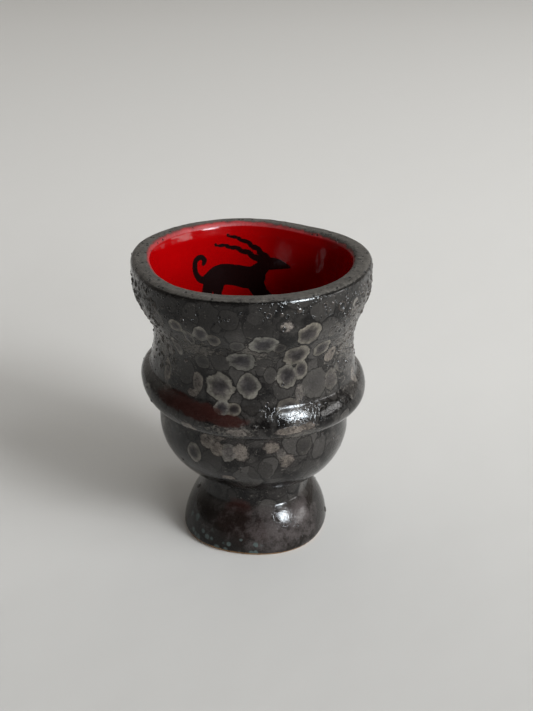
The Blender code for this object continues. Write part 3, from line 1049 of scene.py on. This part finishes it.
def scatterCrystals(settings):
    # Rows of: vertex, half width, half height, clearness, flatness, tint
    rng = np.random.default_rng(settings["seed"])
    rows = []
    for degrees, height, wide, tall, clear, flat in settings["chosen"]:
        rows.append((spotAt(degrees, height), wide, tall, clear, flat, rng.random()))
    low, high = (math.radians(edge) for edge in settings["front"])
    elsewhere = (angles[outsideOnes] < low) | (angles[outsideOnes] > high)
    wanted = outsideOnes[(heights[outsideOnes] > settings["lowest"]) & elsewhere]
    weights = radii[wanted] * np.where(heights[wanted] > 70, 1.0, 0.6)  # fewer on the bowl
    weights = weights * np.where(np.abs(heights[wanted] - 62) < 6, 0.4, 1.0)  # and on the collar
    for vertex in rng.choice(wanted, settings["tries"], p=weights / weights.sum()):
        wide = rng.uniform(*settings["size"])
        tall = wide * rng.uniform(0.85, 1.3)
        flat = rng.uniform(0.6, 1.0) * (rng.random() < settings["flatShare"])
        away = [np.linalg.norm(places[vertex] - places[row[0]]) for row in rows]
        if min(gap - settings["spacing"] * (wide + row[1]) for gap, row in zip(away, rows)) > 0:
            rows.append((vertex, wide, tall, rng.uniform(0.25, 1.0), flat, rng.random()))
        if len(rows) == settings["count"]:
            break
    return rows


def paintCrystals(mesh, rows):
    # How far each vertex is from its nearest crystal's middle, in that crystal's own sizes, how much
    # further the next one is, and the nearest one's look
    looks = {name: np.zeros(len(places)) for name in ("crystalClear", "crystalFlat", "crystalTint")}
    reach = np.full(len(places), 3.0)
    second = np.full(len(places), 4.0)
    for vertex, wide, tall, *values in rows:
        aside = wrapped(angles - angles[vertex]) * radii[vertex]
        down = along - along[vertex]
        away = np.where(along > 0, np.sqrt((aside / wide) ** 2 + (down / tall) ** 2), 9.0)
        nearer = away < reach
        second = np.where(nearer, reach, np.minimum(second, away))
        reach[nearer] = away[nearer]
        for layer, value in zip(looks.values(), values):
            layer[nearer] = value
    addLayer(mesh, "crystalReach", reach)
    addLayer(mesh, "crystalGap", np.clip(second - reach, 0, 1))
    for name, layer in looks.items():
        addLayer(mesh, name, layer)


crystalRows = scatterCrystals(crystals)
paintCrystals(body.data, crystalRows)
print("crystals:", len(crystalRows))


# Soft-edged areas of the glaze: angle, height, half width in degrees, half height in mm

glazeAreas = {
    "ironBreak": [
        (-134, 66.6, 15, 3.0), (-117, 65.4, 13, 3.0), (-102, 63.8, 10, 2.2),
        (-108, 12, 20, 8), (-85, 9, 9, 5),
        (80, 64, 25, 3.5), (150, 12, 25, 7), (20, 63, 16, 2.6),
    ],
    "flakes": [
        (-117, 88, 14, 5), (-90, 88, 12, 5), (-66, 57, 12, 3.5), (-100, 60, 12, 3), (-148, 84, 12, 14),
        (-28, 85, 14, 16), (40, 85, 30, 8), (120, 90, 25, 8), (100, 48, 30, 8), (180, 50, 25, 8),
    ],
    "footEdge": [
        (-152, 6.5, 20, 5), (-128, 3, 18, 2.6), (-100, 3.0, 18, 3.0), (60, 4, 16, 3), (130, 5, 12, 3),
    ],
    "footCloud": [(-72, 10, 26, 9), (-48, 12, 24, 9), (60, 10, 40, 9)],
}
lapOverRim = {"width": 1.5, "change": 0.7, "widest": 150, "narrowest": -80, "waves": 0.4}  # mm and degrees


def paintAreas(mesh):
    for name, areas in glazeAreas.items():
        total = np.zeros(len(places))
        for degrees, height, wide, tall in areas:
            aside = wrapped(angles - math.radians(degrees)) / math.radians(wide)
            up = (heights - height) / tall
            total = np.maximum(total, np.exp(-0.9 * (aside ** 2 + up ** 2)))
        addLayer(mesh, name, total)
    half = cupSizes["rimWidth"] / 2
    addLayer(mesh, "footSkin", eased((19 - heights) / 5))
    addLayer(mesh, "rimTop", half - 0.3 - np.abs(along + 0.3))
    lap = lapOverRim["change"] * (towards(lapOverRim["widest"]) - towards(lapOverRim["narrowest"]))
    lap = lap + lapOverRim["width"] + lapOverRim["waves"] * np.cos(3 * angles + 0.6)
    addLayer(mesh, "redLap", lap - half - along)
    # Painted window light on the ground: paler on the side that faces the window, darker away from it, and
    # darker above 95 mm.
    windowSide = eased(0.5 + 0.5 * towards(-40))
    addLayer(mesh, "paintedWindowLight", (0.35 + 0.75 * windowSide) * (1.0 - 0.45 * eased((heights - 95) / 5)))
    under = eased((heights - 96) / 7) * eased((along - 3.5) / 2)
    sides = eased((np.abs(np.cos(angles)) - 0.50) / 0.3) * eased((heights - 70) / 10)
    addLayer(mesh, "pitted", np.clip(0.05 + 0.95 * np.maximum(under * 0.8, sides), 0, 1))
    addLayer(mesh, "clayEdge", along - clayStarts + 0.35 + 0.6 * towards(-125))


paintAreas(body.data)


# The painted animal: strokes of (across, height, half width) in mm on the far wall of the lining

paintedAnimal = {
    "facing": 90.0,  # degrees; the middle of the figure
    "wallRadius": 34.0,
    "strokes": {
        "trunk": [
            (-17.0, 88.2, 3.3), (-12.5, 89.8, 3.9), (-7.0, 89.2, 4.0), (-1.5, 88.0, 4.3), (2.0, 88.6, 3.8),
        ],
        "neck": [(1.2, 89.2, 3.4), (3.6, 91.4, 2.8), (5.6, 93.2, 2.3)],
        "head": [
            (5.2, 93.6, 2.2), (8.6, 94.2, 2.4), (12.0, 94.4, 1.8), (15.4, 94.2, 0.9), (16.8, 94.1, 0.35),
        ],
        "ear": [(4.6, 94.4, 1.0), (2.8, 95.2, 0.8), (1.2, 95.2, 0.35)],
        "tail": [
            (-18.8, 88.6, 1.5), (-21.6, 90.0, 1.3), (-22.8, 93.2, 1.15), (-21.9, 96.6, 1.05),
            (-19.6, 97.6, 1.0), (-18.1, 96.2, 0.95), (-18.8, 94.9, 0.75),
        ],
        "hindLegs": [
            (-17.0, 87.2, 3.1), (-19.6, 82.6, 1.9), (-18.2, 77.4, 1.2),
            (-20.6, 72.2, 0.95), (-19.4, 71.2, 0.8),
        ],
        "hindLegFar": [
            (-13.6, 86.6, 2.7), (-14.0, 81.8, 1.6), (-11.6, 77.0, 1.1),
            (-12.9, 72.0, 0.85), (-11.6, 71.2, 0.7),
        ],
        "foreLegs": [
            (2.0, 86.8, 2.8), (5.2, 82.8, 1.7), (9.6, 79.8, 1.15), (12.4, 76.2, 0.9), (14.0, 76.2, 0.7),
        ],
        "foreLegFar": [
            (0.2, 86.0, 2.6), (2.6, 81.0, 1.5), (5.8, 76.6, 1.0), (5.4, 72.0, 0.85), (6.8, 71.2, 0.7),
        ],
    },
    "horns": [((6.6, 95.6), (-8.4, 104.4), 1.0), ((3.8, 94.6), (-13.2, 101.2), 1.0)],  # root, tip, bow
    "hornWidth": (1.25, 0.5),
    "hornRipples": 4.0,
}


def curved(stroke, steps=7):
    # The stroke's points joined by a smooth curve through them
    points = np.asarray(stroke, float)
    longer = np.concatenate([2 * points[:1] - points[1:2], points, 2 * points[-1:] - points[-2:-1]])
    line = []
    for k in range(len(points) - 1):
        before, start, end, after = longer[k:k + 4]
        for share in np.arange(steps) / steps:
            bend = (2 * before - 5 * start + 4 * end - after) * share ** 2
            twist = (3 * start - before - 3 * end + after) * share ** 3
            line.append(0.5 * (2 * start + (end - before) * share + bend + twist))
    return np.array(line + [points[-1]])


def hornStroke(root, tip, bow, settings):
    # A rippled line from root to tip, thinner towards the tip
    share = np.linspace(0, 1, 22)
    way = np.array(tip) - np.array(root)
    side = np.array([-way[1], way[0]]) / np.linalg.norm(way)
    ripple = np.sin(share * settings["hornRipples"] * 2 * np.pi)
    lift = -bow * np.sin(share * np.pi) - 0.45 * ripple * (1 - 0.6 * share)
    line = np.array(root) + share[:, None] * way + lift[:, None] * side
    thick, thin = settings["hornWidth"]
    width = thick + (thin - thick) * share + 0.14 * np.cos(share * settings["hornRipples"] * 4 * np.pi)
    return np.column_stack([line, width])


def strokeGap(flat, stroke):
    # Distance in mm of each point from the edge of a stroke, negative inside
    gap = np.full(len(flat), 99.0)
    for start, end in zip(stroke[:-1], stroke[1:]):
        way = end[:2] - start[:2]
        share = np.clip((flat - start[:2]) @ way / (way @ way), 0, 1)
        away = np.linalg.norm(flat - start[:2] - share[:, None] * way, axis=1)
        gap = np.minimum(gap, away - (start[2] + share * (end[2] - start[2])))
    return gap


def paintFigure(mesh, settings):
    across = wrapped(math.radians(settings["facing"]) - angles) * settings["wallRadius"]
    flat = np.column_stack([across, heights])
    strokes = [curved(stroke) for stroke in settings["strokes"].values()]
    strokes += [hornStroke(*horn, settings) for horn in settings["horns"]]
    gap = np.full(len(flat), 9.0)
    for stroke in strokes:
        gap = np.minimum(gap, strokeGap(flat, stroke))
    addLayer(mesh, "figureGap", np.where(along < 0, gap, 9.0))


paintFigure(body.data, paintedAnimal)
print("animal painted")


blisters = {
    # angle, height, size in mm across, and 1 for a burst one or 0 for a dome
    "chosen": [
        (-83, 104, 1.9, 1), (-77, 104, 1.5, 0), (-69, 104.6, 1.9, 0),
        (-57, 105, 1.7, 1), (-46.5, 102.5, 3.2, 1),
        (-43.5, 104.4, 1.6, 1), (-76.4, 98.6, 1.7, 1), (-73, 75.5, 1.3, 1), (-82, 69, 1.7, 1),
        (-53, 65.6, 1.9, 1), (-44, 50.6, 1.3, 1), (-32.5, 46, 1.5, 1),
        (-97, 42.2, 1.2, 1), (-97, 40.6, 1.0, 1),
        (-62, 10.4, 1.0, 1), (-54, 11.1, 1.0, 1), (-49, 9.2, 1.0, 1),
        (-153, 101.8, 1.9, 1), (-141, 103, 1.7, 1),
        (-137, 102, 1.4, 1), (-18, 102.5, 1.8, 1), (-121, 100, 1.5, 1), (-131, 103.6, 1.2, 1),
        (-52, 104.8, 1.2, 0), (-99.5, 102.6, 0.9, 1),
    ],
    "Density": 0.18,  # most blisters per square mm
    "Smallest": 0.6,
    "Largest": 1.9,
    "Burst share": 0.6,
    "Seed": 5,
}
# Radius and height of each ring, in widths of the blister
craterProfile = [
    (0.66, -0.16), (0.54, 0.02), (0.48, 0.10), (0.42, 0.115), (0.37, 0.06), (0.34, 0.03), (0.12, 0.02),
]
domeProfile = [(0.60, -0.14), (0.50, 0.02), (0.38, 0.12), (0.22, 0.18), (0.08, 0.20)]


def latheShape(name, profile, sides, floorRings=0):
    # A small turned shape, one unit across, with its lowest faces marked as the pit's floor
    turns = [math.tau * k / sides for k in range(sides)]
    vertices = [(r * math.cos(turn), r * math.sin(turn), z) for r, z in profile for turn in turns]
    last = len(profile) - 1
    faces = []
    marks = []
    for ring in range(last):
        for k in range(sides):
            a, b = ring * sides + k, ring * sides + (k + 1) % sides
            faces.append((a, b, b + sides, a + sides))
            marks.append(float(ring >= last - floorRings))
    faces += [tuple(last * sides + k for k in range(sides)), tuple(reversed(range(sides)))]
    marks += [float(floorRings > 0), 0.0]
    mesh = bpy.data.meshes.new(name)
    mesh.from_pydata(vertices, [], faces)
    addLayer(mesh, "pitFloor", marks, "FACE")
    return newObject(name, mesh)


def blisterTree():
    inputs = [("Geometry", "Geometry")] + [(name, "Object") for name in ("Body", "Crater", "Dome")]
    inputs += [(name, "Float") for name in ("Density", "Smallest", "Largest", "Burst share")]
    inputs += [("Seed", "Int"), ("Blister glaze", "Material"), ("Pit", "Material")]
    bench = newGroup("glazeBlisters", "GeometryNodeTree", inputs, [("Geometry", "Geometry")])
    given = bench.given
    named = bench.named

    def geometryOf(name):
        return bench.take(bench.add("GeometryNodeObjectInfo", {"Object": given(name)}), "Geometry")

    def random(low, high, step):
        sockets = {2: low, 3: high, "Seed": given("Seed") + step}
        return bench.take(bench.add("FunctionNodeRandomValue", sockets, data_type="FLOAT"), 1)

    def together(*parts):
        joined = bench.add("GeometryNodeJoinGeometry")
        for part in parts:
            bench.feed(joined.inputs[0], part)
        return bench.take(joined)

    # Scattered ones, more of them where the body says so
    skin = geometryOf("Body")
    density = named("blisterShare") * given("Density") / (mm * mm)
    sockets = {"Mesh": skin, "Seed": given("Seed"), "Density": density}
    points = bench.take(bench.add("GeometryNodeDistributePointsOnFaces", sockets))
    small = random(0.0, 1.0, 1)
    points = bench.stored(points, "size", bench.mixed(small * small, given("Smallest"), given("Largest")))
    points = bench.stored(points, "burst", bench.math("LESS_THAN", random(0.0, 1.0, 2), given("Burst share")))

    # Chosen ones come as loose points with their own sizes
    chosen = bench.take(bench.add("GeometryNodeMeshToPoints", {"Mesh": given("Geometry")}))
    everyOne = together(points, chosen)

    sockets = {"Mesh": skin, "Value": bench.take(bench.add("GeometryNodeInputNormal"))}
    upright = bench.add("GeometryNodeSampleNearestSurface", sockets, data_type="FLOAT_VECTOR")
    turn = bench.add("FunctionNodeAlignRotationToVector", {"Vector": bench.take(upright)}, axis="Z")
    spin = bench.add("FunctionNodeAxisAngleToRotation", {"Angle": random(0.0, math.tau, 3)})
    sockets = {0: bench.take(turn), 1: bench.take(spin)}
    spun = bench.take(bench.add("FunctionNodeRotateRotation", sockets, rotation_space="LOCAL"))
    width = named("size") * mm
    scale = bench.combined(width * random(0.72, 1.25, 5), width, width * random(0.75, 1.40, 4))

    kinds = []
    isBurst = bench.math("GREATER_THAN", named("burst"), 0.5)
    for name, where in (("Crater", isBurst), ("Dome", 1.0 - isBurst)):
        sockets = {"Points": everyOne, "Instance": geometryOf(name), "Selection": where}
        sockets.update({"Rotation": spun, "Scale": scale})
        kinds.append(bench.take(bench.add("GeometryNodeInstanceOnPoints", sockets)))
    isPit = bench.math("GREATER_THAN", named("pitFloor"), 0.5)
    geometry = together(*kinds)
    for kind, sockets in (
        ("RealizeInstances", {}),
        ("SetShadeSmooth", {}),
        ("SetMaterial", {"Material": given("Blister glaze")}),
        # The crater's floor takes the near-black pit material, painted shade for the hole.
        ("SetMaterial", {"Material": given("Pit"), "Selection": isPit}),
    ):
        geometry = bench.take(bench.add("GeometryNode" + kind, dict(sockets, Geometry=geometry)))
    bench.give("Geometry", geometry)
    return bench.tree


def makeBlisters(skin, settings):
    # Craters sit where the glaze boiled: under the rim at both sides, and here and there below
    under = eased((heights - 92) / 8) * eased((along - 5) / 2)
    sides = eased((np.abs(np.cos(angles)) - 0.6) / 0.25)
    wall = eased((heights - 68) / 10) * (along > 5)
    front = eased((towards(-78) - 0.55) / 0.2) * eased((98 - heights) / 4)
    share = np.where(along > 4, 0.03, 0.0) * (1 - front) + 0.9 * under * sides + 0.45 * wall * sides
    addLayer(skin.data, "blisterShare", np.clip(share * (along < clayStarts - 3), 0, 1))
    chosen = np.array(settings["chosen"])
    spots = [places[spotAt(row[0], row[1])] * mm for row in chosen]
    guide = guideMesh("chosenBlisters", spots, {"size": chosen[:, 2], "burst": chosen[:, 3]})
    crater = latheShape("crater", craterProfile, 14, 2)
    dome = latheShape("dome", domeProfile, 12)
    values = dict(settings, **glazes)
    values.update({"Body": skin, "Crater": crater, "Dome": dome})
    piece = applied("glaze_blisters", guide, blisterTree(), values)
    for helper in (guide, crater, dome):
        dropGuide(helper)
    print("blisters:", len(piece.data.polygons), "faces")
    return piece


glazeBlisters = makeBlisters(body, blisters)


# Each piece rides on the cup's one body

for piece in (body, glazeBlisters):
    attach(piece, "root")
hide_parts("cup")


# Paper under and behind the cup, and a window's soft light from the front right

stageSettings = {
    "paper": (0.885, 0.90, 0.90, 1.0),
    "radius": 4.0,  # m
    "sides": 96,
    # Lights: degrees to the right of the camera, degrees up, distance, width and height in m, power in W
    "lights": {
        "windowPane": (50.0, 30.0, 3.0, 0.9, 0.9, 54.0),
        "wideWindow": (46.0, 17.0, 3.0, 3.2, 1.00, 92.0),
        "upperWindow": (60.0, 48.0, 3.0, 1.0, 0.7, 12.0),
        "sideWindow": (84.0, 11.0, 3.0, 1.4, 0.6, 24.0),
    },
    "glints": {  # seen in the gloss alone
        "skyGlint": (47.0, 30.0, 3.0, 0.95, 1.20, 225.0),
    },
    "unmirrored": ("wideWindow",),  # behind a net curtain: light without a reflection
    "windowColour": (1.0, 0.99, 0.975),
    "glintColour": (0.84, 0.93, 1.0),
    "aim": (0.0, 0.0, 0.06),  # m, what the lights face
    "roomLevel": (0.035, 0.60),  # from the front and the sides, and from high behind
    "roomDark": (1.00, 0.88, 0.76, 1.0),
    "roomBright": (1.00, 0.95, 0.88, 1.0),
    "behind": (0.0, 0.85, 0.53),
    "horizon": (0.50, 0.50, 0.49, 1.0),  # what the camera sees past the paper
    # Painted shade on the paper, darker towards the front and lighter towards the back, standing for light
    # falling off: share of the way, tone
    "fade": [(0.0, 0.60), (0.16, 0.75), (0.34, 0.80), (1.0, 0.86)],
    "fadeFrom": -0.10,  # m
    "fadeTo": 1.30,
}


def addPaper(look):
    mesh = bpy.data.meshes.new("paper")
    sides = range(look["sides"])
    turns = [math.tau * k / look["sides"] for k in sides]
    edge = [(look["radius"] * math.cos(turn), look["radius"] * math.sin(turn), 0.0) for turn in turns]
    mesh.from_pydata(edge, [], [sides])
    paper = newObject("paper", mesh)
    material, bench, shader, place = newMaterial("matPaper", 0.9, 0.0)
    # The paper's colour carries painted shade, darker towards the front.
    share = (bench.parts(place)[1] - look["fadeFrom"]) / (look["fadeTo"] - look["fadeFrom"])
    tone = bench.ramp(share, [(mark, (level, level, level, 1.0)) for mark, level in look["fade"]])
    bench.feed(shader.inputs["Base Color"], bench.times(tone, look["paper"]))
    bumped(bench, shader, bench.swing(place, 30.0, 3.0) * 0.3)
    mesh.materials.append(material)


def addWindows(look):
    for name, (aside, up, distance, wide, tall, power) in dict(look["lights"], **look["glints"]).items():
        aside = math.radians(aside)
        up = math.radians(up)
        way = Vector((math.sin(aside) * math.cos(up), -math.cos(aside) * math.cos(up), math.sin(up)))
        data = bpy.data.lights.new(name, "AREA")
        data.shape = "RECTANGLE"
        data.size = wide
        data.size_y = tall
        data.energy = power
        data.color = look["glintColour" if name in look["glints"] else "windowColour"]
        light = newObject(name, data)
        light.location = way * distance + Vector(look["aim"])
        light.rotation_euler = way.to_track_quat("Z", "Y").to_euler()
        light.visible_diffuse = name not in look["glints"]
        light.visible_glossy = name not in look["unmirrored"]


def lightRoom(look):
    # A plain dim room, brighter high behind the cup
    world = bpy.context.scene.world or bpy.data.worlds.new("room")
    bpy.context.scene.world = world
    world.use_nodes = True
    bench = Bench(world.node_tree)
    way = bench.take(bench.add("ShaderNodeTexCoord"))
    bright = bench.eased(bench.vector("DOT_PRODUCT", way, look["behind"], output=1), -0.1, 1.0)
    light = bench.blended(bright, look["roomDark"], look["roomBright"])
    light = bench.times(light, bench.mixed(bright, *look["roomLevel"]))
    seen = bench.take(bench.add("ShaderNodeLightPath"))
    backdrop = world.node_tree.nodes["Background"]
    bench.feed(backdrop.inputs["Color"], bench.blended(seen, light, look["horizon"]))
    backdrop.inputs["Strength"].default_value = 1.0


addPaper(stageSettings)
addWindows(stageSettings)
lightRoom(stageSettings)
bpy.context.scene.view_settings.view_transform = "Standard"
print("stage lit")
